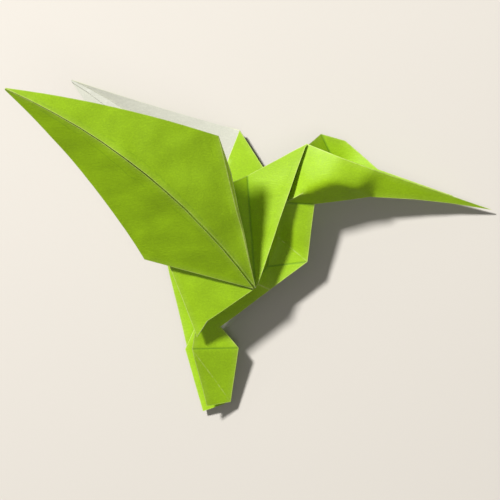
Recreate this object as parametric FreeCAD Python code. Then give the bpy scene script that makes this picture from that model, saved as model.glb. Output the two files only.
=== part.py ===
import FreeCAD, Part
import math
import os

Vector = FreeCAD.Vector

# Origami hummingbird: one square of two-sided paper, folded.
#
# The bird is laid out in its own frame: x forward towards the beak, z up its body, and "out" the distance
# from its middle plane, to its right (side -1) or to its left (side +1). The folds fan out from the two
# wing roots. The panels between the folds are flat facets; they are given the paper's thickness, and the
# finished bird is laid down as it comes to rest.

os.makedirs("parts", exist_ok=True)
doc = FreeCAD.newDocument("Hummingbird")

# ---------------------------------------------------------------- driving dimensions (mm and degrees)
DIMENSIONS = [
    ("paper_thickness", 0.12, "thickness of the sheet"),
    ("layer_pitch", 0.35, "from one folded layer to the next"),
    ("fold_width", 0.30, "width of a folded ridge along the middle plane"),
    ("root_out", 5.5, "wing root, out from the middle plane"),
    ("root_hole", 0.7, "radius of the pinhole where the folds meet at a wing root"),
    ("wing_length", 90.6, "root to tip, side view"),
    ("wing_angle", 138.4, "direction of the wing, from straight ahead"),
    ("wing_tip_out", 34.0, "wing tip, out from the middle plane"),
    ("wing_front_length", 47.1, "root to the wing's front corner"),
    ("wing_front_angle", 101.0, "direction of the wing's front fold"),
    ("wing_front_out", 18.0, "front corner, out from the middle plane"),
    ("wing_rear_length", 34.0, "root to the wing's rear corner"),
    ("wing_rear_angle", 164.2, "direction of the wing's lower fold"),
    ("wing_rear_out", 11.0, "rear corner, out from the middle plane"),
    ("left_tip_rise", 1.5, "how much higher the left wing's tip is held"),
    ("slit_bow", 14.0, "how far the wing's middle folds bow upwards"),
    ("slit_lift", 6.0, "how far the wing's middle folds stand out"),
    ("right_top_bow", 3.1, "bow of the right wing's upper edge"),
    ("left_top_bow", -0.8, "bow of the left wing's upper edge"),
    ("wing_low_bow", 4.5, "bow of the wing's lower edge, inwards"),
    ("slit_gap_root", 0.75, "gap between the middle folds at the root"),
    ("slit_gap_tip", 0.22, "gap between the middle folds at the tip"),
    ("wing_pleat_depth", 5.0, "depth of the hidden pleat behind the middle folds"),
    ("wing_pleat_setback", 1.4, "how far the hidden pleat stops short of the root"),
    ("left_knee_forward", 5.9, "how much further forward the left wing's front fold bends"),
    ("left_knee_drop", 1.8, "how much lower the left wing's front fold bends"),
    ("left_knee_out", 14.4, "the left bend, out from the middle plane"),
    ("neck_length", 45.6, "wing root to the top of the neck, side view"),
    ("neck_angle", 71.7, "direction of the neck"),
    ("neck_out", 1.8, "top of the neck, out from the middle plane"),
    ("shoulder_root_out", 4.7, "shoulder at the wing root, out from the middle plane"),
    ("shoulder_length", 20.1, "top of the neck back to the shoulder's valley fold"),
    ("shoulder_angle", 208.5, "direction of the shoulder's upper edge, backwards"),
    ("shoulder_out", 1.5, "top of the valley fold, out from the middle plane"),
    ("left_spine_drop", 0.6, "how much lower the left shoulder's upper edge lies"),
    ("left_spine_end_drop", 1.2, "how much lower the left side of its rear end lies"),
    ("throat_share", 0.42, "throat, along the shoulder's front edge from the neck"),
    ("throat_out", 4.4, "shoulder's front edge beside the throat, out from the middle plane"),
    ("throat_depth", 8.3, "throat forward to the front ridge"),
    ("chest_length", 17.4, "front ridge, throat to breast point"),
    ("chest_angle", 263.3, "direction of the front ridge, downwards"),
    ("belly_length", 33.4, "breast point back along the belly"),
    ("belly_angle", 217.7, "direction of the belly ridge"),
    ("belly_fold", 14.2, "breast point back to the cross fold of the belly"),
    ("vent_length", 8.4, "belly to the tail's fold"),
    ("vent_angle", 311.0, "direction of that short ridge"),
    ("tail_length", 16.9, "the tail's front ridge"),
    ("tail_angle", 261.5, "direction of the tail"),
    ("tail_width", 13.3, "across the tail at its fold"),
    ("tail_top_angle", 179.6, "direction of the tail's fold, backwards"),
    ("tail_top_out", 4.5, "rear end of the tail's fold, out from the middle plane"),
    ("tail_end_width", 7.0, "across the tail at its end"),
    ("tail_end_angle", 189.5, "direction of the tail's end, backwards"),
    ("tail_tip_out", 2.2, "rear corner of the tail's end, out from the middle plane"),
    ("left_tail_back", 4.0, "how much further back the left side of the tail starts"),
    ("left_tail_drop", 1.8, "how much lower the left side of the tail starts"),
    ("left_tip_back", 2.0, "how much further back the left side of the tail ends"),
    ("left_tip_drop", 2.6, "how much lower the left side of the tail ends"),
    ("left_body_back", 4.4, "how much further back the left body panel reaches at its top"),
    ("left_body_low_back", 5.6, "how much further back it reaches at its lowest corner"),
    ("left_body_drop", 5.0, "how much lower it reaches there"),
    ("body_lining_fall", 1.0, "how much lower than the panel the body's lining starts"),
    ("body_lining_forward", 2.0, "how far forward the lining's lower corner stands"),
    ("body_lining_rise", 3.0, "how far up the lining's lower corner stands"),
    ("chin_forward", 18.9, "neck to the start of the beak's lower ridge, forwards"),
    ("chin_drop", 15.5, "neck to the start of the beak's lower ridge, downwards"),
    ("beak_length", 51.9, "front ridge of the throat to the beak's tip"),
    ("beak_angle", -0.9, "direction of the beak"),
    ("beak_low_bow", 1.4, "bow of the beak's lower ridge"),
]

# Corners that are set by themselves: forward, up, out (mm), from the named point.
CORNERS = [
    ("knee", -5.9, 35.3, 14.4, "bend in the wing's front fold, from the root"),
    ("spine_end", -15.2, 28.4, 9.0, "rear end of the back's upper edge, from the root"),
    ("body_top", -26.1, 8.2, 8.3, "top of the body's rear edge, from the root"),
    ("body_low", -17.8, -14.6, 6.0, "lowest corner of the body panel, from the root"),
    ("body_front", -14.8, -9.7, 6.2, "corner on the body panel's lower edge, from the root"),
    ("chest_high", 4.6, 16.2, 2.9, "upper end of the chest's crease, from the root"),
    ("chest_low", 1.9, 7.0, 2.6, "upper end of the breast's crease, from the root"),
    ("keel_front", -1.2, 2.0, 3.1, "hidden edge of the belly, from the root"),
    ("keel_middle", -9.0, -0.5, 2.9, "hidden edge of the belly, from the root"),
    ("keel_rear", -18.0, -8.5, 3.2, "hidden edge of the belly, from the root"),
    ("brow", 10.5, -3.8, 4.2, "right rim of the open crown, from the neck"),
    ("crown_rear", 3.6, 2.6, 5.0, "left rim of the open crown, from the neck"),
    ("crown_top", 10.8, 0.6, 5.5, "left rim of the open crown, from the neck"),
    ("crown_front", 14.7, -2.6, 5.0, "left rim of the open crown, from the neck"),
    ("beak_root", 20.8, -7.6, 3.0, "rim where the beak begins, from the neck"),
    ("cheek", 8.6, -7.9, 6.4, "high point of the cheek, from the neck"),
    ("jaw", 15.7, -13.2, 4.6, "front end of the cheek's ridge, from the neck"),
    ("jowl", -0.6, -14.4, 3.8, "rear corner of the cheek, from the neck"),
    ("gullet", -6.1, -17.4, 1.6, "hidden lower corner of the head, from the neck"),
]

sheet = doc.addObject("Spreadsheet::Sheet", "Dimensions")
rows = list(DIMENSIONS)
for name, forward, up, out, meaning in CORNERS:
    rows += [(name + "_forward", forward, meaning + ", forward"),
             (name + "_up", up, meaning + ", up"),
             (name + "_out", out, meaning + ", out from the middle plane")]
for row, (alias, value, meaning) in enumerate(rows, start=1):
    sheet.set(f"A{row}", meaning)
    sheet.set(f"B{row}", str(value))
    sheet.setAlias(f"B{row}", alias)
doc.recompute()


def dim(alias):
    """A driving dimension, read from the spreadsheet."""
    return float(getattr(sheet, alias))


# ---------------------------------------------------------------- small geometry helpers
def step(start, length, angle, out):
    """The point a length and an angle away from another in the side view, at its own distance out."""
    turn = math.radians(angle)
    return Vector(start.x + length * math.cos(turn), out, start.z + length * math.sin(turn))


def corner(name, start):
    """A corner set by itself, from a starting point in the side view."""
    return Vector(start.x + dim(name + "_forward"), dim(name + "_out"), start.z + dim(name + "_up"))


def moved(place, forward, out, up):
    return place + Vector(forward, out, up)


def between(first, second, share):
    return first + (second - first) * share


def bow(start, control, end, share):
    """A point along a quadratic curve."""
    return between(between(start, control, share), between(control, end, share), share)


def raised(start, end, height, lift=0.0):
    """The control point that bows a line upwards in the side view and outwards."""
    along = end - start
    across = Vector(-along.z, 0, along.x)
    across.normalize()
    if across.z < 0:
        across = -across
    return (start + end) * 0.5 + across * height + Vector(0, lift, 0)


class Paper:
    """The folded sheet as flat facets between numbered points."""

    def __init__(self):
        self.points = []
        self.facets = []

    def point(self, place, side):
        self.points.append(Vector(place.x, side * place.y, place.z))
        return len(self.points) - 1

    def line(self, places, side):
        return [self.point(place, side) for place in places]

    def facet(self, a, b, c):
        self.facets.append((a, b, c))

    def fan(self, hub, rim):
        """Facets from one corner to each stretch of a line."""
        for first, second in zip(rim, rim[1:]):
            self.facet(hub, first, second)

    def strip(self, first, second):
        """A panel between two lines of as many points."""
        for i in range(len(first) - 1):
            self.facet(first[i], first[i + 1], second[i + 1])
            self.facet(first[i], second[i + 1], second[i])


# ---------------------------------------------------------------- the corners, on the right side
PITCH = dim("layer_pitch")
RIDGE_OUT = dim("fold_width") / 2
ROOT = Vector(0, dim("root_out"), 0)
WING_TIP = step(ROOT, dim("wing_length"), dim("wing_angle"), dim("wing_tip_out"))
WING_FRONT = step(ROOT, dim("wing_front_length"), dim("wing_front_angle"), dim("wing_front_out"))
WING_REAR = step(ROOT, dim("wing_rear_length"), dim("wing_rear_angle"), dim("wing_rear_out"))
NECK = step(ROOT, dim("neck_length"), dim("neck_angle"), dim("neck_out"))
SPINE_FOLD = step(NECK, dim("shoulder_length"), dim("shoulder_angle"), dim("shoulder_out"))
SPINE_END = corner("spine_end", ROOT)


def near_root(place, out):
    """Where a fold from the root towards a corner starts, at the edge of the pinhole."""
    along = Vector(place.x, 0, place.z)
    along.normalize()
    return Vector(along.x * dim("root_hole"), out, along.z * dim("root_hole"))


SHOULDER_ROOT = near_root(NECK, dim("shoulder_root_out"))
THROAT = between(NECK, SHOULDER_ROOT, dim("throat_share"))
THROAT.y = dim("throat_out")
THROAT_RIDGE = Vector(THROAT.x + dim("throat_depth"), RIDGE_OUT, THROAT.z)
BREAST = step(THROAT_RIDGE, dim("chest_length"), dim("chest_angle"), RIDGE_OUT)
BELLY = step(BREAST, dim("belly_length"), dim("belly_angle"), RIDGE_OUT)
BELLY_FOLD = step(BREAST, dim("belly_fold"), dim("belly_angle"), RIDGE_OUT)
VENT = step(BELLY, dim("vent_length"), dim("vent_angle"), RIDGE_OUT)
TAIL_END = step(VENT, dim("tail_length"), dim("tail_angle"), RIDGE_OUT)
TAIL_TOP = step(VENT, dim("tail_width"), dim("tail_top_angle"), dim("tail_top_out"))
TAIL_TIP = step(TAIL_END, dim("tail_end_width"), dim("tail_end_angle"), dim("tail_tip_out"))
CHIN = Vector(NECK.x + dim("chin_forward"), RIDGE_OUT, NECK.z - dim("chin_drop"))
BEAK_TIP = step(THROAT_RIDGE, dim("beak_length"), dim("beak_angle"), RIDGE_OUT)


def on_left(place, forward, up):
    """The same corner on the left side, which isn't folded quite alike."""
    return moved(place, forward, 0, up)


LEFT_WING_TIP = on_left(WING_TIP, 0, dim("left_tip_rise"))
LEFT_TAIL_TIP = on_left(TAIL_TIP, -dim("left_tip_back"), -dim("left_tip_drop"))

# ---------------------------------------------------------------- the panels
WING_STATIONS = 13        # points along each wing fold
SLOPE_STEP = 0.01         # share of a fold over which its direction is taken
LEAST_PLEAT = 0.2         # depth of a pleat where it runs out (mm)
PLEAT_REACH = 0.7         # the most of a panel's width that its pleat may take
ROOT_CORNER = 0.035       # share of a wing fold that its first corner stands from the pinhole


def add_wing(paper, side):
    """Upper and lower wing panels with the box pleat behind their middle folds."""
    left = side > 0
    tip = LEFT_WING_TIP if left else WING_TIP
    knee = corner("knee", ROOT)
    if left:
        knee = on_left(knee, dim("left_knee_forward"), -dim("left_knee_drop"))
        knee.y = dim("left_knee_out")
    slit_control = raised(tip, ROOT, dim("slit_bow"), dim("slit_lift"))
    top_control = raised(tip, WING_FRONT, dim("left_top_bow" if left else "right_top_bow"))
    low_control = raised(tip, WING_REAR, dim("wing_low_bow"))
    first = dim("root_hole") / dim("wing_length")
    last = 1 - first
    order = ("top", "fold_up", "fold_up_in", "pleat_up", "pleat_up_in",
             "pleat_low_in", "pleat_low", "fold_low_in", "fold_low", "low")
    rows = {name: [] for name in order}
    for i in range(WING_STATIONS):
        share = i / (WING_STATIONS - 1)
        along = first + (last - first) * share
        middle = bow(tip, slit_control, ROOT, along)
        ahead = bow(tip, slit_control, ROOT, along + SLOPE_STEP)
        ahead = ahead - bow(tip, slit_control, ROOT, along - SLOPE_STEP)
        across = Vector(-ahead.z, 0, ahead.x)
        across.normalize()
        edge = first * 2 * (1 - share) + share
        gap = dim("slit_gap_tip") + (dim("slit_gap_root") - dim("slit_gap_tip")) * share
        depth = max(dim("wing_pleat_depth") * 2 * min(share, 1 - share), LEAST_PLEAT)
        inset = ahead * (-dim("wing_pleat_setback") / ahead.Length) if i == WING_STATIONS - 1 else Vector()
        for name, direction, control, end in (("up", 1, top_control, WING_FRONT),
                                              ("low", -1, low_control, WING_REAR)):
            outer = bow(tip, control, end, edge)
            fold = middle + across * (direction * gap / 2)
            back = between(fold, outer, min(depth / (outer - fold).Length, PLEAT_REACH))
            rows["top" if direction > 0 else "low"].append(outer)
            rows["fold_" + name].append(fold)
            rows["fold_" + name + "_in"].append(moved(fold, 0, -PITCH, 0) + inset)
            rows["pleat_" + name].append(moved(back, 0, -PITCH, 0) + inset)
            rows["pleat_" + name + "_in"].append(moved(back, 0, -2 * PITCH, 0) + inset)
    top, fold_up, fold_up_in, pleat_up, pleat_up_in, pleat_low_in, pleat_low, fold_low_in, fold_low, low = (
        paper.line(rows[name], side) for name in order)
    front_root_place = between(rows["fold_up"][-1], WING_FRONT, ROOT_CORNER)
    front_root = paper.point(front_root_place, side)
    rear_root = paper.point(between(rows["fold_low"][-1], WING_REAR, ROOT_CORNER), side)
    knee_point = paper.point(knee, side)
    for outer, fold, corner_point in ((top, fold_up, front_root), (low, fold_low, rear_root)):
        paper.strip(outer[:-1], fold[:-1])
        paper.fan(outer[-2], [outer[-1], corner_point, fold[-1], fold[-2]])
    paper.facet(top[-1], knee_point, front_root)
    for one, other in ((fold_up, fold_up_in), (pleat_up, fold_up_in), (pleat_up, pleat_up_in),
                       (pleat_up_in, pleat_low_in), (pleat_low_in, pleat_low), (pleat_low, fold_low_in),
                       (fold_low_in, fold_low)):
        paper.strip(one, other)
    front_fold = (front_root_place, knee, rows["top"][-1])
    front_in = paper.line([moved(place, 0, -PITCH, 0) for place in front_fold], side)
    paper.strip([front_root, knee_point, top[-1]], front_in)
    return {"front": front_in, "rear_root": rear_root, "rear": low[-1]}


HEAD_LAYERS = 2.5         # layers of paper from the shoulder's face in to the head's
LINING_LAYERS = 1.5       # layers from a rim in to its lining

# Stations down the shoulder's front edge: share from the neck to the root, and share of the way back
# to the spine that the hidden pleat takes there.
PLEAT_STATIONS = ((0.0, 0.05), (dim("throat_share"), 0.20), (0.65, 0.12), (0.86, 0.06), (0.97, 0.02))


def add_shoulder(paper, side, wing):
    """The return panel behind the wing's front fold, and the shoulder with the pleat along its front edge."""
    out = dim("shoulder_root_out")
    drop = dim("left_spine_drop") if side > 0 else 0.0
    end_drop = dim("left_spine_end_drop") if side > 0 else 0.0
    spine_fold_place = on_left(SPINE_FOLD, 0, -drop)
    neck_place = on_left(NECK, 0, -drop)
    spine_end = paper.point(on_left(SPINE_END, 0, -end_drop), side)
    spine_fold = paper.point(spine_fold_place, side)
    spine_root = paper.point(near_root(SPINE_END, out), side)
    fold_root = paper.point(near_root(SPINE_FOLD, out), side)
    front_root, knee, front = wing["front"]
    paper.fan(spine_end, [front, knee, spine_root])
    paper.facet(knee, front_root, spine_root)
    paper.strip([spine_root, spine_end], [fold_root, spine_fold])
    edge, back = [], []
    for share, depth in PLEAT_STATIONS:
        if share <= dim("throat_share"):
            place = between(neck_place, THROAT, share / dim("throat_share"))
        else:
            place = between(THROAT, SHOULDER_ROOT, (share - dim("throat_share")) / (1 - dim("throat_share")))
        edge.append(place)
        back.append(between(place, spine_fold_place, depth))
    edge_line = paper.line(edge, side)
    edge_in = paper.line([moved(place, 0, -PITCH, 0) for place in edge], side)
    back_out = paper.line([moved(place, 0, -PITCH, 0) for place in back], side)
    back_in = paper.line([moved(place, 0, -2 * PITCH, 0) for place in back], side)
    paper.fan(spine_fold, edge_line + [fold_root])
    paper.strip(edge_line, edge_in)
    paper.strip(back_out, edge_in)
    paper.strip(back_out, back_in)
    hidden = [corner(name, ROOT) for name in ("chest_high", "chest_low", "keel_front")]
    inner = paper.line([moved(neck_place, 0, -HEAD_LAYERS * PITCH, 0), corner("gullet", NECK)] + hidden, side)
    paper.strip(back_in, inner)
    return inner


# Share of each panel that its lining covers.
HEAD_LINING = 0.6
BEAK_LINING = 0.35
BODY_LINING = 0.35
BODY_LINING_LOW = 0.9     # at the panel's lowest corner
TAIL_LINING = 0.8


def add_body(paper, side, wing):
    """The body panel that comes down from behind the wing's lower fold, with its rear lining."""
    top = corner("body_top", ROOT)
    low = corner("body_low", ROOT)
    front = corner("body_front", ROOT)
    if side > 0:
        top = on_left(top, -dim("left_body_back"), 0)
        low = on_left(low, -dim("left_body_low_back"), -dim("left_body_drop"))
    root = near_root(top, dim("root_out") - PITCH)
    body_top, body_low, body_front, body_root = paper.line([top, low, front, root], side)
    paper.facet(wing["rear_root"], wing["rear"], body_top)
    paper.facet(wing["rear_root"], body_top, body_root)
    paper.fan(body_top, [body_low, body_front, body_root])
    rear = paper.line([moved(top, 0, -PITCH, 0), moved(low, 0, -PITCH, 0)], side)
    depth = LINING_LAYERS * PITCH
    inner = paper.line([moved(between(top, root, BODY_LINING), 0, -depth, -dim("body_lining_fall")),
                        moved(between(low, front, BODY_LINING_LOW),
                              dim("body_lining_forward"), -depth, dim("body_lining_rise"))], side)
    paper.strip([body_top, body_low], rear)
    paper.strip(rear, inner)


def add_chest(paper, side, inner):
    """Chest, belly and tail on one side of the ridge."""
    gullet, chest_high, chest_low, keel_front = inner[1:]
    top, tip = TAIL_TOP, TAIL_TIP
    if side > 0:
        top = on_left(TAIL_TOP, -dim("left_tail_back"), -dim("left_tail_drop"))
        tip = LEFT_TAIL_TIP
    keel = corner("keel_rear", ROOT)
    keel_middle, keel_rear = paper.line([corner("keel_middle", ROOT), keel], side)
    tail_top, tail_tip = paper.line([top, tip], side)
    ridge = paper.line([THROAT_RIDGE, BREAST, BELLY_FOLD, BELLY, VENT, TAIL_END], side)
    throat_ridge, breast, belly_fold, belly, vent, tail_end = ridge
    paper.fan(breast, [throat_ridge, gullet, chest_high, chest_low, belly_fold])
    paper.fan(belly_fold, [chest_low, keel_front, keel_middle, belly])
    paper.fan(belly, [keel_middle, keel_rear, tail_top, vent])
    paper.fan(tail_top, [vent, tail_end, tail_tip])
    rear = paper.line([moved(place, 0, -PITCH, 0) for place in (keel, top, tip)], side)
    spans = ((keel, BELLY), (top, BELLY), (top, VENT), (top, TAIL_END), (tip, TAIL_END))
    lining = paper.line([moved(between(start, end, TAIL_LINING), 0, -PITCH, 0) for start, end in spans], side)
    paper.strip([keel_rear, tail_top, tail_tip], rear)
    paper.fan(rear[1], [rear[0]] + lining + [rear[2]])
    return ridge


BEAK_STATIONS = (0.36, 0.66)      # shares from the beak's root to its tip


def add_head(paper, side, inner, throat_ridge):
    """One side of the open head and beak, with the lining inside its rim."""
    neck_in, gullet = inner[:2]
    left = side > 0
    drop = dim("left_spine_drop") if left else 0.0
    neck_place = moved(NECK, 0, -HEAD_LAYERS * PITCH, -drop)
    names = ("crown_rear", "crown_top", "crown_front") if left else ("brow",)
    crown = [corner(name, NECK) for name in names]
    beak_root = corner("beak_root", NECK)
    cheek = corner("cheek", NECK)
    jaw = corner("jaw", NECK)
    low_control = raised(CHIN, BEAK_TIP, dim("beak_low_bow"))
    beak_top = [between(beak_root, BEAK_TIP, share) for share in BEAK_STATIONS]
    beak_low = [bow(CHIN, low_control, BEAK_TIP, share) for share in BEAK_STATIONS]
    rim_places = crown + [beak_root] + beak_top
    rim = paper.line(rim_places, side)
    root_index = len(crown)
    cheek_point, jaw_point, jowl = paper.line([cheek, jaw, corner("jowl", NECK)], side)
    low = paper.line([CHIN] + beak_low + [BEAK_TIP], side)
    paper.fan(jowl, [gullet, neck_in, cheek_point, throat_ridge, gullet])
    paper.fan(cheek_point, [neck_in] + rim[:root_index + 1] + [jaw_point, low[0], throat_ridge])
    paper.fan(jaw_point, [rim[root_index], low[0]])
    upper = rim[root_index:]
    paper.strip(upper, low[:-1])
    paper.facet(upper[-1], low[-2], low[-1])
    lined = [neck_place] + rim_places
    targets = [cheek] * (root_index + 1) + [CHIN] + beak_low
    shares = [HEAD_LINING] * (root_index + 2) + [BEAK_LINING] * len(beak_low)
    folded = paper.line([moved(place, 0, -PITCH, 0) for place in lined], side)
    lining = paper.line([moved(between(start, target, share), 0, -LINING_LAYERS * PITCH, 0)
                         for start, target, share in zip(lined, targets, shares)], side)
    paper.strip([neck_in] + rim, folded)
    paper.strip(folded, lining)
    return low[::-1]


# ---------------------------------------------------------------- thickness
MITRE_ROUNDS = 120        # rounds of adjustment until every facet round a corner has moved out enough
SAME_DIRECTION = 0.9999   # cosine above which two facets face the same way
MERGE_DISTANCE = 0.001    # corners closer than this are one (mm)


def oriented(facets):
    """The same facets, all turned the same way round, walking from each to its neighbours."""
    by_edge = {}
    for index, facet in enumerate(facets):
        for a, b in zip(facet, facet[1:] + facet[:1]):
            by_edge.setdefault(frozenset((a, b)), []).append(index)
    turned = {0: facets[0]}
    waiting = [0]
    while waiting:
        facet = turned[waiting.pop()]
        for a, b in zip(facet, facet[1:] + facet[:1]):
            for other in by_edge[frozenset((a, b))]:
                if other in turned:
                    continue
                corners = facets[other]
                runs = list(zip(corners, corners[1:] + corners[:1]))
                turned[other] = corners[::-1] if (a, b) in runs else corners
                waiting.append(other)
    assert len(turned) == len(facets), "the panels don't form one sheet"
    assert all(len(users) <= 2 for users in by_edge.values()), "three panels meet at one fold"
    return [turned[index] for index in range(len(facets))]


def mitres(points, facets, half):
    """For each point, the step that moves every facet round it out by half the thickness."""
    normals = [[] for _ in points]
    for a, b, c in facets:
        normal = (points[b] - points[a]).cross(points[c] - points[a])
        normal.normalize()
        for index in (a, b, c):
            if all(normal.dot(known) < SAME_DIRECTION for known in normals[index]):
                normals[index].append(normal)
    steps = []
    for around in normals:
        move = Vector()
        for _ in range(MITRE_ROUNDS):
            for normal in around:
                move = move + normal * (half - normal.dot(move))
        steps.append(move)
    return steps


def thickened(paper, thickness):
    """One closed solid: both faces of the sheet and the cut edges between them."""
    facets = oriented(paper.facets)
    steps = mitres(paper.points, facets, thickness / 2)
    count = len(paper.points)
    places = [point + move for point, move in zip(paper.points, steps)]
    places += [point - move for point, move in zip(paper.points, steps)]
    skin = list(facets) + [(c + count, b + count, a + count) for a, b, c in facets]
    runs = {run for facet in facets for run in zip(facet, facet[1:] + facet[:1])}
    for a, b in sorted(runs):
        if (b, a) not in runs:
            skin.append((b, a, a + count))
            skin.append((b, a + count, b + count))
    shell = Part.Shape()
    shell.makeShapeFromMesh((places, skin), MERGE_DISTANCE)
    solid = Part.makeSolid(shell)
    if solid.Volume < 0:
        solid.reverse()
    return solid


# ---------------------------------------------------------------- the sheet
def folded_sheet():
    paper = Paper()
    ridges = {}
    for side in (-1, 1):
        wing = add_wing(paper, side)
        inner = add_shoulder(paper, side, wing)
        add_body(paper, side, wing)
        ridge = add_chest(paper, side, inner)
        ridges[side] = add_head(paper, side, inner, ridge[0]) + ridge
    paper.strip(ridges[-1], ridges[1])
    return paper


paper = folded_sheet()
bird = doc.addObject("Part::Feature", "FoldedSheet")
bird.Label = "folded_sheet"
bird.Shape = thickened(paper, dim("paper_thickness"))


# ---------------------------------------------------------------- laid down on its left side
def lying_placement(shape, first, second, third):
    """Turns the bird so that three of its points rest on the ground, under the middle of its box."""
    upwards = (second - first).cross(third - first)
    upwards.normalize()
    if upwards.y > 0:
        upwards = -upwards
    forwards = Vector(1, 0, 0) - upwards * upwards.x
    forwards.normalize()
    sideways = upwards.cross(forwards)
    turn = FreeCAD.Placement(FreeCAD.Matrix(forwards.x, forwards.y, forwards.z, 0,
                                            sideways.x, sideways.y, sideways.z, 0,
                                            upwards.x, upwards.y, upwards.z, 0,
                                            0, 0, 0, 1))
    box = shape.transformed(turn.toMatrix(), True).BoundBox
    turn.Base = Vector(-box.Center.x, -box.Center.y, -box.ZMin)
    return turn


bird.Placement = lying_placement(bird.Shape, LEFT_WING_TIP, BEAK_TIP, LEFT_TAIL_TIP)

# ---------------------------------------------------------------- check and write
doc.recompute()
for item in doc.Objects:
    assert "Invalid" not in item.State and "Error" not in item.State, f"{item.Label} failed"
assert not bird.Shape.isNull() and bird.Shape.isValid(), "the folded sheet isn't a valid solid"
bird.Shape.exportStep(f"parts/{bird.Label}.step")
print(f"{bird.Label}: {bird.Shape.Volume:.1f} mm3, {len(paper.facets)} facets, box {bird.Shape.BoundBox}")
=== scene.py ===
"""Origami hummingbird: one square of two-sided paper, green outside and white inside, lying as it rests."""
import math
from collections import deque

import bmesh
import bpy
import numpy as np
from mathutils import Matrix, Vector


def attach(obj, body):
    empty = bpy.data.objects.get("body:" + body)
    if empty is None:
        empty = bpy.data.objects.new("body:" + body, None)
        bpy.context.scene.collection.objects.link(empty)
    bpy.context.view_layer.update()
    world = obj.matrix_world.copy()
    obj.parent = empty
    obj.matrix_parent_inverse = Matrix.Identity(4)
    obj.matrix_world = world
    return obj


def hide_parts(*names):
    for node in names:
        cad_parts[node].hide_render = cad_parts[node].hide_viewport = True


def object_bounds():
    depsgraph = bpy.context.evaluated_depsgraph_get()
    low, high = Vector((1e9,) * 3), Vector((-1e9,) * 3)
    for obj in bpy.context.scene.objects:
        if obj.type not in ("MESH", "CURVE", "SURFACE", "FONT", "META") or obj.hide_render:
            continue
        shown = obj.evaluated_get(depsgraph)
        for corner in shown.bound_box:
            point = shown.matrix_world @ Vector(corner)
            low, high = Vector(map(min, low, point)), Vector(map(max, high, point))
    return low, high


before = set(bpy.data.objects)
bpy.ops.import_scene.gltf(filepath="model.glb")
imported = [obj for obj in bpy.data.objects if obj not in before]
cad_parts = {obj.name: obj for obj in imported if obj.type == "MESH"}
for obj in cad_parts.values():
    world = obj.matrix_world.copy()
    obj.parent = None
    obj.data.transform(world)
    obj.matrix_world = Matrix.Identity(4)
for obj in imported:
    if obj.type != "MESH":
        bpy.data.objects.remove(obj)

CAD_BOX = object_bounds()
MM = 0.001

# ------------------------------------------------------------------ camera
VIEW_TARGET = Vector((4.85, -5.57, 30.0)) * MM   # the point in the middle of the view
VIEW_DISTANCE = 440.8 * MM
VIEW_AZIMUTH = -15.42                           # degrees round from the beak's side
VIEW_ELEVATION = 69.46                          # degrees above the floor
VIEW_ROLL = -2.06                               # degrees
LENS = 110.4                                    # mm
FILM_WIDTH = 36                                 # mm
NEAR_LIMIT, FAR_LIMIT = 0.01, 20                # metres


def add_camera():
    """The camera, looking down on the lying bird from the side that faces up."""
    azimuth, elevation = math.radians(VIEW_AZIMUTH), math.radians(VIEW_ELEVATION)
    back = Vector((math.cos(elevation) * math.cos(azimuth), math.cos(elevation) * math.sin(azimuth),
                   math.sin(elevation)))
    up = Vector((0, 1, 0))
    up = (up - back * up.dot(back)).normalized()
    right = up.cross(back)
    roll = math.radians(VIEW_ROLL)
    right, up = right * math.cos(roll) - up * math.sin(roll), up * math.cos(roll) + right * math.sin(roll)
    data = bpy.data.cameras.new("studio_camera")
    data.sensor_width = FILM_WIDTH
    data.lens = LENS
    data.clip_start, data.clip_end = NEAR_LIMIT, FAR_LIMIT
    camera = bpy.data.objects.new("studio_camera", data)
    bpy.context.scene.collection.objects.link(camera)
    place = VIEW_TARGET + back * VIEW_DISTANCE
    matrix = camera.matrix_world.copy()
    for row in range(3):
        for column, axis in enumerate((right, up, back, place)):
            matrix[row][column] = axis[row]
    camera.matrix_world = matrix
    bpy.context.scene.camera = camera


add_camera()


# ------------------------------------------------------------------ node helpers
FIRST_COLOUR, SECOND_COLOUR, MIXED_COLOUR = 6, 7, 2    # a Mix node's sockets for colours


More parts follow.
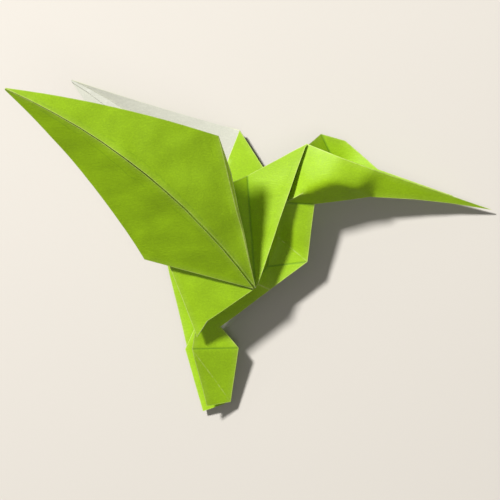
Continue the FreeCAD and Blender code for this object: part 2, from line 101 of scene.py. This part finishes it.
class Tree:
    """Short calls for adding and wiring nodes."""

    def __init__(self, tree):
        self.tree = tree

    def feed(self, node, inputs):
        """Sets these inputs of a node, and links the ones that are given another node's output."""
        for key, value in inputs.items():
            socket = node.inputs[key]
            if isinstance(value, bpy.types.NodeSocket):
                self.tree.links.new(value, socket)
            else:
                socket.default_value = value

    def add(self, node_type, inputs=None, **settings):
        """A new node with these settings and inputs."""
        node = self.tree.nodes.new(node_type)
        for name, value in settings.items():
            setattr(node, name, value)
        self.feed(node, inputs or {})
        return node

    def math(self, operation, first, *others):
        """One kind of arithmetic, on two values or on several in turn."""
        for other in others:
            first = self.add("ShaderNodeMath", {0: first, 1: other}, operation=operation).outputs[0]
        return first

    def moved(self, vector, by):
        """A vector with another added to it."""
        return self.add("ShaderNodeVectorMath", {0: vector, 1: by}, operation="ADD").outputs[0]

    def scaled(self, vector, factor):
        """A vector or a colour, multiplied by a value."""
        return self.add("ShaderNodeVectorMath", {0: vector, "Scale": factor}, operation="SCALE").outputs[0]

    def mapped(self, value, low, high, to_low=0.0, to_high=1.0):
        """A value as its share of the way from low to high, held at both ends."""
        return self.add("ShaderNodeMapRange", {"Value": value, "From Min": low, "From Max": high,
                                               "To Min": to_low, "To Max": to_high}).outputs[0]

    def mixed(self, factor, first, second):
        """The first colour where the factor is 0 and the second where it is 1."""
        return self.add("ShaderNodeMix", {"Factor": factor, FIRST_COLOUR: first, SECOND_COLOUR: second},
                        data_type="RGBA").outputs[MIXED_COLOUR]

    def noise(self, place, scale, detail, roughness=0.5, output="Fac"):
        """Noise at these points, with about this many patches to a metre."""
        return self.add("ShaderNodeTexNoise", {"Vector": place, "Scale": scale, "Detail": detail,
                                               "Roughness": roughness}).outputs[output]

    def distance(self, name):
        """The distance that the sheet keeps under this name, in mm."""
        kept = self.add("ShaderNodeAttribute", attribute_name=name).outputs["Fac"]
        return self.math("MULTIPLY", kept, 1 / MM)


# ------------------------------------------------------------------ the sheet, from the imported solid
PAPER_THICKNESS = 0.12 * MM
SAME_POINT = 0.001 * MM            # points nearer than this are one
OPPOSITE = -0.99                   # two normals whose product is below this face apart
RAISED_WING = 0.6                  # above this share of the height there is only the raised wing
FOLD_ANGLE = math.radians(24)      # panels that meet at more than this have a pressed fold between them
FLAT, FOLD, CUT, PALE, DARK = 0, 1, 2, 3, 4     # kinds of edge

# Corners of the sheet (mm), on the side that faces up and on the other.
UPPER = {"cheek": (25.6, 18.4, 18.7), "jaw": (32.1, 13.6, 14.5), "jowl": (15.9, 12.6, 16.4),
         "chin": (34.4, 12.3, 9.2), "neck": (16.5, 27.3, 16.6), "beak_root": (37.1, 19.4, 13.3),
         "breast": (15.4, -6.9, 8.3), "chest_high": (6.3, 0.4, 14.5), "chest_low": (3.2, -8.5, 12.7),
         "vent": (-6.3, -33.0, 6.4), "tail_top": (-18.6, -33.9, 13.0), "tail_end": (-9.4, -49.3, 3.3),
         "brow_lining": (26.2, 20.3, 17.5), "neck_lining": (21.9, 22.1, 17.3)}
LOWER = {"cheek": (23.4, 21.2, 6.4), "jaw": (30.5, 15.6, 5.7), "jowl": (14.5, 14.3, 9.1),
         "chin": (34.3, 12.4, 8.9), "neck": (16.2, 27.1, 14.7), "beak_root": (36.0, 20.7, 7.5),
         "breast": (15.3, -6.8, 8.0), "chest_high": (5.2, 1.7, 8.9), "chest_low": (2.3, -7.4, 7.7),
         "vent": (-6.3, -32.9, 6.1), "tail_top": (-24.2, -33.7, 4.7), "tail_end": (-9.4, -49.3, 3.0)}
CORNER_REACH = 0.25 * MM           # how near a corner has to be to its place here
# Soft creases that were pressed and opened again, between these corners on both sides. Pale ones show wear on
# the outside and carry a painted highlight; dark ones are pressed inwards and carry painted shade. The head's
# bends are rounded and have no crease.
PALE_CREASES = (("breast", "chest_high"), ("tail_top", "tail_end"))
DARK_CREASES = (("breast", "chest_low"), ("tail_top", "vent"))
ROUND_BENDS = (("cheek", "jaw"), ("cheek", "jowl"), ("cheek", "chin"), ("cheek", "neck"),
               ("jaw", "chin"), ("jaw", "beak_root"), ("chin", "beak_root"))
# Corners on the upper side that give a little as the folded bird is pressed, and their moves (mm).
EASED_CORNERS = {"brow_lining": (0, 0, -4.0), "neck_lining": (0, 0, -3.0), "cheek": (-1.0, -2.6, -0.6),
                 "chest_high": (0, 0, -4.2), "chest_low": (0, 0, -3.4)}

PANEL_GRID = 2.2 * MM              # longest edge once the panels are divided
NEEDLE = 0.02 * MM                 # height of a facet too thin to divide
MOST_DIVISIONS = 8                 # the dividing stops after this many rounds
PANEL_ROUNDS = 4                   # rounds of smoothing that soften every panel and the head's bends
WING_ROUNDS = 45                   # rounds that let the wings' broad panels bend evenly
BROAD = 600 * MM * MM              # area of a broad panel
NARROW = 0.08 * MM                 # area over outline of a facet in a narrow strip
WEAR_REACH = 6 * MM                # how far from a fold its wear is worked out
SLIGHT = 0.0001 * MM               # a distance that is nearer by less than this isn't taken over
SHARP_ANGLE = math.radians(42)     # anything steeper than this is drawn as a crisp edge


def walk_pairs(bm):
    """Walks over both faces of the paper at once and pairs each facet and corner with the one behind it."""
    first = max(bm.faces, key=lambda f: f.calc_area())
    behind = -first.normal * PAPER_THICKNESS
    back = min((f for f in bm.faces if f.normal.dot(first.normal) < OPPOSITE),
               key=lambda f: (f.calc_center_median() - first.calc_center_median() - behind).length)
    twin = {v: min(back.verts, key=lambda other: (other.co - v.co - behind).length) for v in first.verts}
    pairs = {first: back}
    waiting = [first]
    while waiting:
        face = waiting.pop()
        for edge in face.edges:
            a, b = edge.verts
            ahead = [f for f in edge.link_faces if f is not face][0]
            if ahead in pairs:
                continue
            corner = [v for v in ahead.verts if v not in (a, b)][0]
            if corner in (twin[a], twin[b]):    # the facet ahead is the paper's cut edge
                continue
            back_edge = [e for e in twin[a].link_edges if twin[b] in e.verts][0]
            back_ahead = [f for f in back_edge.link_faces if f is not pairs[face]][0]
            twin[corner] = [v for v in back_ahead.verts if v not in (twin[a], twin[b])][0]
            pairs[ahead] = back_ahead
            waiting.append(ahead)
    return pairs, twin


def sheet_from_solid():
    """The paper's middle surface as one open sheet, with half the thickness kept as a step at each corner."""
    solid = bmesh.new()
    solid.from_mesh(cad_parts["folded_sheet"].data)
    bmesh.ops.remove_doubles(solid, verts=solid.verts, dist=SAME_POINT)
    solid.verts.index_update()
    solid.verts.ensure_lookup_table()
    solid.normal_update()
    pairs, twin = walk_pairs(solid)
    facing_up = sum(face.normal.z * face.calc_area() for face in pairs
                    if face.calc_center_median().z > RAISED_WING * CAD_BOX[1][2])
    outside = 1 if facing_up > 0 else -1        # the outside of the raised wing faces up
    sheet = bmesh.new()
    step = sheet.verts.layers.float_vector.new("half_step")
    made = {}
    for face in pairs:
        for vert in face.verts:
            if vert not in made:
                other = twin[vert]
                made[vert] = sheet.verts.new((vert.co + other.co) / 2)
                made[vert][step] = (vert.co - other.co) / 2 * outside
        corners = [made[v] for v in face.verts]
        sheet.faces.new(corners if outside > 0 else corners[::-1])
    solid.free()
    sheet.normal_update()
    return sheet


def mark_folds(sheet):
    """Marks each edge of the flat panels as a cut edge, a fold, a pale or dark crease, or none of these."""
    kind = sheet.edges.layers.int.new("kind")
    for edge in sheet.edges:
        if edge.is_boundary:
            edge[kind] = CUT
        elif edge.calc_face_angle(0) > FOLD_ANGLE:
            edge[kind] = FOLD
    for creases, mark in ((PALE_CREASES, PALE), (DARK_CREASES, DARK), (ROUND_BENDS, FLAT)):
        for names, side in ((names, side) for names in creases for side in (UPPER, LOWER)):
            start, end = (nearest_corner(sheet, side[name]) for name in names)
            for edge in start.link_edges:
                if end in edge.verts:
                    edge[kind] = mark
    return kind


def nearest_corner(sheet, place):
    """The sheet's corner at this place (mm)."""
    place = Vector(place) * MM
    corner = min(sheet.verts, key=lambda v: (v.co - place).length)
    assert (corner.co - place).length < CORNER_REACH, f"no corner at {tuple(place)}"
    return corner


def ease_corners(sheet):
    """Moves the corners that give: chest and breast, the cheek, and the lining inside the head."""
    for name, move in EASED_CORNERS.items():
        nearest_corner(sheet, UPPER[name]).co += Vector(move) * MM
    sheet.normal_update()


def halve(sheet, edges):
    """Cuts these edges in half and makes the facets beside them triangles again."""
    bmesh.ops.subdivide_edges(sheet, edges=edges, cuts=1, use_grid_fill=False)
    bmesh.ops.triangulate(sheet, faces=[f for f in sheet.faces if len(f.verts) > 3])


def refine(sheet, longest):
    """Divides the panels until no edge is longer than this, except beside a facet as thin as a needle."""
    for _ in range(MOST_DIVISIONS):
        long = [e for e in sheet.edges if e.calc_length() > longest
                and all(2 * f.calc_area() / e.calc_length() > NEEDLE for f in e.link_faces)]
        if not long:
            break
        halve(sheet, long)
    sheet.normal_update()


def open_corners(sheet, kind):
    """Divides the facets in the corner between two folds, so that each has a point away from both."""
    marked = {v for e in sheet.edges if e[kind] for v in e.verts}
    crowded = [f for f in sheet.faces if marked.issuperset(f.verts)
               and f.calc_area() / f.calc_perimeter() > NARROW]
    inner = {e for f in crowded for e in f.edges if not e[kind]}
    halve(sheet, list(inner))
    sheet.normal_update()


def broad_panels(sheet, kind):
    """The points inside the broad panels, which are the wings' own."""
    seen, inside = set(), set()
    for first in sheet.faces:
        if first in seen:
            continue
        panel, waiting = [], [first]
        seen.add(first)
        while waiting:
            face = waiting.pop()
            panel.append(face)
            for edge in face.edges:
                for other in edge.link_faces:
                    if edge[kind] != FOLD and other not in seen:
                        seen.add(other)
                        waiting.append(other)
        if sum(face.calc_area() for face in panel) > BROAD:
            inside.update(v for face in panel for v in face.verts)
    return inside


def relax(sheet, kind, rounds, among=None):
    """Lets the panels bend smoothly between their marked edges. Only points in among move, if it is given."""
    sheet.verts.index_update()
    places = np.array([v.co for v in sheet.verts])
    ends = np.array([[v.index for v in e.verts] for e in sheet.edges])
    held = np.array([any(e[kind] for e in v.link_edges) or (among is not None and v not in among)
                     for v in sheet.verts])
    degree = np.bincount(ends.ravel(), minlength=len(places))[:, None]
    for _ in range(rounds):
        total = np.zeros_like(places)
        np.add.at(total, ends[:, 0], places[ends[:, 1]])
        np.add.at(total, ends[:, 1], places[ends[:, 0]])
        places = np.where(held[:, None], places, (places + total / degree) / 2)
    for vert, place in zip(sheet.verts, places):
        vert.co = place
    sheet.normal_update()


def distance_to(point, start, end):
    """Distance of a point from the line between two others."""
    along = end - start
    share = max(0.0, min(1.0, (point - start).dot(along) / along.length_squared))
    return (point - start - along * share).length


def spread_distance(sheet, name, lines):
    """Keeps, at each point of the sheet, how far it is from the nearest of these lines along the paper."""
    layer = sheet.verts.layers.float.new(name)
    distance = {v: WEAR_REACH for v in sheet.verts}
    waiting = deque()

    def offer(vert, line):
        """Takes this line over as a point's nearest, if it is."""
        reached = distance_to(vert.co, *line)
        if reached < distance[vert] - SLIGHT:
            distance[vert] = reached
            waiting.append((vert, line))

    for edge in lines:
        line = (edge.verts[0].co, edge.verts[1].co)
        for face in edge.link_faces:
            for vert in face.verts:
                offer(vert, line)
    while waiting:
        vert, line = waiting.popleft()
        for edge in vert.link_edges:
            offer(edge.other_vert(vert), line)
    for vert in sheet.verts:
        vert[layer] = distance[vert]


sheet = sheet_from_solid()
kind = mark_folds(sheet)
ridge = sheet.edges.layers.int.new("ridge")
for edge in sheet.edges:
    edge[ridge] = int(edge[kind] == FOLD and edge.calc_face_angle_signed(0) > 0)
ease_corners(sheet)
refine(sheet, PANEL_GRID)
open_corners(sheet, kind)
relax(sheet, kind, PANEL_ROUNDS)
relax(sheet, kind, WING_ROUNDS, broad_panels(sheet, kind))
spread_distance(sheet, "ridge_distance", [e for e in sheet.edges if e[kind] == FOLD and e[ridge]])
spread_distance(sheet, "valley_distance", [e for e in sheet.edges if e[kind] == FOLD and not e[ridge]])
spread_distance(sheet, "pale_crease_distance", [e for e in sheet.edges if e[kind] == PALE])
spread_distance(sheet, "dark_crease_distance", [e for e in sheet.edges if e[kind] == DARK])
spread_distance(sheet, "cut_distance", [e for e in sheet.edges if e[kind] == CUT])
mesh = bpy.data.meshes.new("folded_paper")
sheet.to_mesh(mesh)
sheet.free()
paper = bpy.data.objects.new("folded_paper", mesh)
bpy.context.scene.collection.objects.link(paper)


# ------------------------------------------------------------------ materials
FLOAT, COLOUR = "NodeSocketFloat", "NodeSocketColor"
GEOMETRY, MATERIAL = "NodeSocketGeometry", "NodeSocketMaterial"

CLOUD_SCALE, GRAIN_SCALE, PATCH_SCALE = 150.0, 2200.0, 700.0    # patches to a metre
STRAND_SCALE = (260.0, 2600.0, 2600.0)      # the same, along and across a fibre
STRAND_TURNS = ((0.3, 0.2, 0.6), (0.1, 0.5, 2.2), (0.7, 0.2, 3.9))    # how three sets of fibres lie (radians)
STRAND_LEVELS = (0.62, 0.74)                # noise at which a fibre begins to show, and shows fully
STRAND_BEND = 1.6 * MM                      # how far a fibre bends out of line
STRAND_BEND_SCALE = 420.0                   # bends to a metre
GRAIN_ROUGHNESS = 0.8                       # how much the grain changes the roughness
GRAIN_HEIGHT, STRAND_HEIGHT, CREASE_HEIGHT = 0.6, 0.5, 1.2    # as shares of the relief
RELIEF, RELIEF_STRENGTH = 0.04 * MM, 0.6    # height of the grain, fibres and creases
PAPER_SPECULAR = 0.35
# Wear, painted highlight and painted shade, by the distances from their line (mm) up to which each is full,
# and at which it is gone.
# the fold and pale crease limits are for wear with a painted highlight; the cut edge and rubbing limits are
# for wear
WORN_AND_LIT_FOLD, WORN_CUT, WORN_AND_LIT_CREASE, RUBBED = (0.07, 0.30), (0.04, 0.26), (0.04, 0.26), (0.2, 1.9)
# painted shade: how far from a valley fold and from a dark crease the darker colour reaches
SHADED_VALLEY, SHADED_CREASE, PRESSED_LINE = (0.10, 0.55), (0.08, 0.40), (0.0, 0.5)
PATCH_LEVELS = (0.36, 0.56)                 # noise at which wear begins to show, and shows fully
EVEN_WEAR = 0.55                            # share of a fold's wear that isn't patchy


def node_group(name, inputs, outputs):
    """A shader group with these sockets, as the tree, its kit of calls and its inputs."""
    tree = bpy.data.node_groups.new(name, "ShaderNodeTree")
    for title, socket, value in inputs:
        tree.interface.new_socket(title, in_out="INPUT", socket_type=socket).default_value = value
    for title, socket in outputs:
        tree.interface.new_socket(title, in_out="OUTPUT", socket_type=socket)
    kit = Tree(tree)
    return tree, kit, kit.add("NodeGroupInput").outputs


def fibre_group():
    """Paper fibre: broad clouding, fine grain and short fibres, on any colour of paper."""
    tree, kit, given = node_group(
        "Paper fibre",
        [("Colour", COLOUR, (0.5, 0.5, 0.5, 1)), ("Clouding", FLOAT, 0.1), ("Grain", FLOAT, 0.1),
         ("Fibres", FLOAT, 0.1), ("Roughness", FLOAT, 0.6)],
        [("Colour", COLOUR), ("Roughness", FLOAT), ("Height", FLOAT)])
    place = kit.add("ShaderNodeTexCoord").outputs["Object"]
    cloud = kit.noise(place, CLOUD_SCALE, detail=3.0, roughness=0.6)
    grain = kit.noise(place, GRAIN_SCALE, detail=2.0, roughness=0.7)
    bend = kit.scaled(kit.noise(place, STRAND_BEND_SCALE, detail=1.0, output="Color"), STRAND_BEND)
    bent = kit.moved(place, bend)
    strands = []
    for turn in STRAND_TURNS:
        laid = kit.add("ShaderNodeMapping", {"Vector": bent, "Rotation": turn, "Scale": STRAND_SCALE})
        strands.append(kit.mapped(kit.noise(laid.outputs[0], 1.0, detail=0.0), *STRAND_LEVELS))
    strand = kit.math("MAXIMUM", *strands)
    clouding = kit.math("MULTIPLY", kit.math("SUBTRACT", cloud, 0.5), given["Clouding"])
    graining = kit.math("MULTIPLY", kit.math("SUBTRACT", grain, 0.5), given["Grain"])
    uneven = kit.math("ADD", kit.math("MULTIPLY", clouding, 2.0), kit.math("MULTIPLY", graining, 2.0))
    light = kit.math("ADD", 1.0, uneven, kit.math("MULTIPLY", strand, given["Fibres"]))
    colour = kit.scaled(given["Colour"], light)
    rough = kit.math("ADD", given["Roughness"], kit.math("MULTIPLY", graining, GRAIN_ROUGHNESS))
    height = kit.math("ADD", kit.math("MULTIPLY", grain, GRAIN_HEIGHT),
                      kit.math("MULTIPLY", strand, STRAND_HEIGHT))
    kit.add("NodeGroupOutput", {"Colour": colour, "Roughness": rough, "Height": height})
    return tree


def wear_and_painted_light_group():
    """Wear along pressed folds and cut edges, where the paper's core shows, with a painted highlight along
    ridges and pale creases, and painted shade in the valleys and dark creases.
    """
    tree, kit, given = node_group(
        "Fold wear and painted light",
        [("Colour", COLOUR, (0.5, 0.5, 0.5, 1)), ("Worn and highlight colour", COLOUR, (0.8, 0.8, 0.7, 1)),
         ("Valley shade colour", COLOUR, (0.1, 0.1, 0.1, 1)), ("Ridge", FLOAT, 1.0), ("Valley", FLOAT, 1.0),
         ("Ridge wear and highlight", FLOAT, 0.6), ("Crease wear and highlight", FLOAT, 0.3), ("Cut wear", FLOAT, 0.5),
         ("Valley shade strength", FLOAT, 0.5), ("Rubbing", FLOAT, 0.15)],
        [("Colour", COLOUR), ("Height", FLOAT)])
    patchy = kit.noise(kit.add("ShaderNodeTexCoord").outputs["Object"], PATCH_SCALE, detail=3.0)
    broken = kit.mapped(patchy, *PATCH_LEVELS)
    pale, dark = kit.distance("pale_crease_distance"), kit.distance("dark_crease_distance")
    cut = kit.distance("cut_distance")

    def near(distance, limits):
        """How strongly a mark with these limits shows at a distance: wear, painted highlight and painted
        shade alike.
        """
        return kit.mapped(distance, *limits, 1.0, 0.0)

    # wear along the ridges, with a painted highlight where light would catch the rounded fold
    fold_wear_and_highlight = kit.math("MULTIPLY", near(given["Ridge"], WORN_AND_LIT_FOLD), given["Ridge wear and highlight"])
    cut_wear = kit.math("MULTIPLY", near(cut, WORN_CUT), given["Cut wear"])
    share = kit.math("ADD", EVEN_WEAR, kit.math("MULTIPLY", broken, 1 - EVEN_WEAR))
    pressed_wear_and_highlight = kit.math("MULTIPLY", kit.math("MAXIMUM", fold_wear_and_highlight, cut_wear), share)
    # wear along the pale creases, with a painted highlight where they stand up
    crease_wear_and_highlight = kit.math("MULTIPLY", near(pale, WORN_AND_LIT_CREASE), given["Crease wear and highlight"], broken)
    rubbed = kit.math("MULTIPLY", near(given["Ridge"], RUBBED), given["Rubbing"], patchy)
    wear_and_painted_light = kit.math("MAXIMUM", pressed_wear_and_highlight, crease_wear_and_highlight, rubbed)
    # painted shade: a darker colour in the valleys and along the dark creases, where shade falls
    valley_shade = kit.math("MULTIPLY", near(given["Valley"], SHADED_VALLEY), given["Valley shade strength"])
    crease_shade = kit.math("MULTIPLY", near(dark, SHADED_CREASE), given["Valley shade strength"])
    painted_shade = kit.math("MAXIMUM", valley_shade, crease_shade)
    colour = kit.mixed(painted_shade, given["Colour"], given["Valley shade colour"])
    colour = kit.mixed(wear_and_painted_light, colour, given["Worn and highlight colour"])
    height = kit.math("SUBTRACT", kit.math("MULTIPLY", near(pale, PRESSED_LINE), CREASE_HEIGHT),
                      kit.math("MULTIPLY", near(dark, PRESSED_LINE), CREASE_HEIGHT))
    kit.add("NodeGroupOutput", {"Colour": colour, "Height": height})
    return tree


FIBRE, WEAR_AND_PAINTED_LIGHT = fibre_group(), wear_and_painted_light_group()


def principled(name, specular):
    """A material with one Principled shader, its kit of calls and the shader."""
    material = bpy.data.materials.new(name)
    material.use_nodes = True
    material.node_tree.nodes.clear()
    kit = Tree(material.node_tree)
    shader = kit.add("ShaderNodeBsdfPrincipled", {"Specular IOR Level": specular})
    kit.add("ShaderNodeOutputMaterial", {"Surface": shader.outputs[0]})
    return material, kit, shader


def paper_material(name, colour, fibre, wear, outside=True):
    """Paper of one colour, with its own amounts of fibre, and of wear, painted highlight and painted shade
    along its folds.
    """
    material, kit, shader = principled(name, PAPER_SPECULAR)
    ridge, valley = kit.distance("ridge_distance"), kit.distance("valley_distance")
    if not outside:     # a ridge on the outside is a valley on the reverse
        ridge, valley = valley, ridge
    wear_and_painted_light = kit.add("ShaderNodeGroup", {"Colour": (*colour, 1), "Ridge": ridge, "Valley": valley, **wear},
                   node_tree=WEAR_AND_PAINTED_LIGHT).outputs
    body = kit.add("ShaderNodeGroup", {"Colour": wear_and_painted_light["Colour"], **fibre}, node_tree=FIBRE).outputs
    height = kit.math("ADD", body["Height"], wear_and_painted_light["Height"])
    bump = kit.add("ShaderNodeBump", {"Strength": RELIEF_STRENGTH, "Distance": RELIEF, "Height": height})
    kit.feed(shader, {"Base Color": body["Colour"], "Roughness": body["Roughness"],
                      "Normal": bump.outputs[0]})
    return material


# In each paper below, the valley shade colour is painted shade, and the pale colour along ridges and pale
# creases is wear with a painted highlight.
green = paper_material(
    "green_paper", (0.352, 0.59, 0.005),
    {"Clouding": 0.15, "Grain": 0.20, "Fibres": 0.05, "Roughness": 0.58},
    {"Worn and highlight colour": (0.64, 0.76, 0.20, 1), "Valley shade colour": (0.10, 0.26, 0.006, 1), "Ridge wear and highlight": 0.75,
     "Crease wear and highlight": 0.45, "Cut wear": 0.6, "Valley shade strength": 0.55, "Rubbing": 0.16})
# The reverse is white paper with a faint cream tint; its colour is set greyer than that, which paints shade
# on the inner faces.
reverse = paper_material(
    "white_paper_back", (0.55, 0.55, 0.46),
    {"Clouding": 0.07, "Grain": 0.10, "Fibres": 0.05, "Roughness": 0.66},
    {"Worn and highlight colour": (0.68, 0.68, 0.60, 1), "Valley shade colour": (0.34, 0.37, 0.24, 1), "Ridge wear and highlight": 0.4,
     "Crease wear and highlight": 0.2, "Cut wear": 0.2, "Valley shade strength": 0.45, "Rubbing": 0.10}, outside=False)
edge_paper = paper_material(
    "cut_paper_edge", (0.70, 0.76, 0.42),
    {"Clouding": 0.08, "Grain": 0.25, "Fibres": 0.10, "Roughness": 0.75},
    {"Worn and highlight colour": (0.74, 0.78, 0.50, 1), "Valley shade colour": (0.30, 0.42, 0.10, 1), "Ridge wear and highlight": 0.3,
     "Crease wear and highlight": 0.2, "Cut wear": 0.0, "Valley shade strength": 0.2, "Rubbing": 0.0})


# ------------------------------------------------------------------ thickness and ripple
RIPPLE_DETAIL = 1.5                             # how much finer waving there is on the ripple


def sheet_tree():
    """A geometry nodes tree that ripples the open sheet, thickens it and gives each side its material."""
    tree = bpy.data.node_groups.new("Folded sheet", "GeometryNodeTree")
    for name, socket in (("Sheet", GEOMETRY), ("Ripple height", FLOAT), ("Ripple size", FLOAT),
                         ("Settled height", FLOAT), ("Seed", FLOAT), ("Outside", MATERIAL),
                         ("Reverse", MATERIAL), ("Cut edge", MATERIAL)):
        tree.interface.new_socket(name, in_out="INPUT", socket_type=socket)
    tree.interface.new_socket("Paper", in_out="OUTPUT", socket_type=GEOMETRY)
    kit = Tree(tree)
    given = kit.add("NodeGroupInput").outputs

    # the ripple fades out towards the floor
    position = kit.add("GeometryNodeInputPosition").outputs[0]
    place = kit.scaled(position, kit.math("DIVIDE", 1.0, given["Ripple size"]))
    noise = kit.add("ShaderNodeTexNoise", {"Vector": place, "W": given["Seed"], "Scale": 1.0,
                                           "Detail": RIPPLE_DETAIL}, noise_dimensions="4D").outputs["Fac"]
    height = kit.add("ShaderNodeSeparateXYZ", {0: position}).outputs["Z"]
    clear = kit.mapped(height, 0.0, given["Settled height"])
    rise = kit.math("MULTIPLY", kit.math("SUBTRACT", noise, 0.5), given["Ripple height"], clear)
    offset = kit.add("ShaderNodeCombineXYZ", {"Z": rise}).outputs[0]
    rippled = kit.add("GeometryNodeSetPosition", {"Geometry": given["Sheet"], "Offset": offset}).outputs[0]

    # the outside stands half a thickness out, and the reverse, joined to it by the cut edge, as far in
    half_step = kit.add("GeometryNodeInputNamedAttribute", {"Name": "half_step"},
                        data_type="FLOAT_VECTOR").outputs[0]
    front = kit.add("GeometryNodeSetPosition", {"Geometry": rippled, "Offset": half_step})
    extruded = kit.add("GeometryNodeExtrudeMesh", {"Mesh": rippled, "Offset Scale": 0.0, "Individual": False},
                       mode="FACES").outputs
    step = kit.add("GeometryNodeSwitch", {"Switch": extruded["Top"], "False": half_step,
                                          "True": kit.scaled(half_step, -1.0)}, input_type="VECTOR")
    back = kit.add("GeometryNodeSetPosition", {"Geometry": extruded["Mesh"], "Offset": step.outputs[0]})
    turned = kit.add("GeometryNodeFlipFaces", {"Mesh": back.outputs[0]})
    joined = kit.add("GeometryNodeJoinGeometry")
    for side in (front, turned):
        tree.links.new(side.outputs[0], joined.inputs[0])
    closed = kit.add("GeometryNodeMergeByDistance", {"Geometry": joined.outputs[0], "Distance": SAME_POINT})

    painted = kit.add("GeometryNodeRealizeInstances", {"Geometry": closed.outputs[0]}).outputs[0]
    painted = kit.add("GeometryNodeSetMaterial", {"Geometry": painted,
                                                  "Material": given["Outside"]}).outputs[0]
    for name, faces in (("Reverse", extruded["Top"]), ("Cut edge", extruded["Side"])):
        painted = kit.add("GeometryNodeSetMaterial", {"Geometry": painted, "Selection": faces,
                                                      "Material": given[name]}).outputs[0]
    kit.add("NodeGroupOutput", {"Paper": painted})
    return tree


def applied(target, tree, values):
    """Runs a tree on an object once and keeps the result as its plain mesh."""
    modifier = target.modifiers.new(tree.name, "NODES")
    modifier.node_group = tree
    for item in tree.interface.items_tree:
        if item.in_out == "INPUT" and item.name in values:
            modifier[item.identifier] = values[item.name]
    view = bpy.context.evaluated_depsgraph_get()
    finished = bpy.data.meshes.new_from_object(target.evaluated_get(view))
    target.modifiers.clear()
    target.data = finished
    # the tree leaves an empty slot, which is dropped
    used = [index for index, material in enumerate(finished.materials) if material]
    kept = [finished.materials[index] for index in used]
    slots = [used.index(face.material_index) for face in finished.polygons]
    finished.materials.clear()
    for material in kept:
        finished.materials.append(material)
    finished.polygons.foreach_set("material_index", slots)


applied(paper, sheet_tree(), {"Ripple height": 2.2 * MM, "Ripple size": 15 * MM, "Settled height": 12 * MM,
                              "Seed": 4.0, "Outside": green, "Reverse": reverse, "Cut edge": edge_paper})
paper.data.shade_smooth()
paper.data.set_sharp_from_angle(angle=SHARP_ANGLE)
# a pressed fold stays crisp, however shallow it is
for edge, mark in zip(paper.data.edges, paper.data.attributes["kind"].data):
    if mark.value == FOLD:
        edge.use_edge_sharp = True

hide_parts("folded_sheet")
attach(paper, "root")


# ------------------------------------------------------------------ floor and light
FLOOR_HALF = 1.5                                # metres from the middle to a side
FLOOR_SEEN, FLOOR_BOUNCE = (0.66, 0.62, 0.56, 1), (0.22, 0.21, 0.20, 1)    # seen, and as it lights the paper
FLOOR_SPECULAR, FLOOR_ROUGHNESS = 0.2, 0.9
# Name, place and width (metres), power (watts).
LAMPS = (("key_lamp", (-0.53, 0.73, 1.20), 0.25, 30.0), ("fill_lamp", (0.58, -0.40, 1.32), 0.60, 2.2))
ROOM_COLOUR, ROOM_STRENGTH = (1, 0.98, 0.95, 1), 0.14


def add_floor():
    """A plain pale floor, which looks lighter than the light that it throws back on the paper."""
    mesh = bpy.data.meshes.new("studio_floor")
    corners = [(x * FLOOR_HALF, y * FLOOR_HALF, 0) for x, y in ((-1, -1), (1, -1), (1, 1), (-1, 1))]
    mesh.from_pydata(corners, [], [(0, 1, 2, 3)])
    floor = bpy.data.objects.new("studio_floor", mesh)
    bpy.context.scene.collection.objects.link(floor)
    material, kit, shader = principled("studio_floor", FLOOR_SPECULAR)
    rays = kit.add("ShaderNodeLightPath").outputs
    seen = kit.math("MAXIMUM", *(rays[f"Is {kind} Ray"] for kind in ("Camera", "Glossy", "Transmission")))
    kit.feed(shader, {"Base Color": kit.mixed(seen, FLOOR_BOUNCE, FLOOR_SEEN), "Roughness": FLOOR_ROUGHNESS})
    mesh.materials.append(material)


def add_lamp(name, place, width, power):
    """A round lamp that shines on the middle of the floor."""
    data = bpy.data.lights.new(name, "AREA")
    data.shape = "DISK"
    data.size = width
    data.energy = power
    lamp = bpy.data.objects.new(name, data)
    lamp.location = place
    lamp.rotation_euler = (-Vector(place)).to_track_quat("-Z", "Y").to_euler()
    bpy.context.scene.collection.objects.link(lamp)


def add_room_light():
    """The even light of a pale room."""
    world = bpy.data.worlds.new("studio_world")
    world.use_nodes = True
    light = world.node_tree.nodes["Background"].inputs
    light["Color"].default_value = ROOM_COLOUR
    light["Strength"].default_value = ROOM_STRENGTH
    bpy.context.scene.world = world


add_floor()
for lamp in LAMPS:
    add_lamp(*lamp)
add_room_light()
bpy.context.scene.view_settings.view_transform = "Standard"
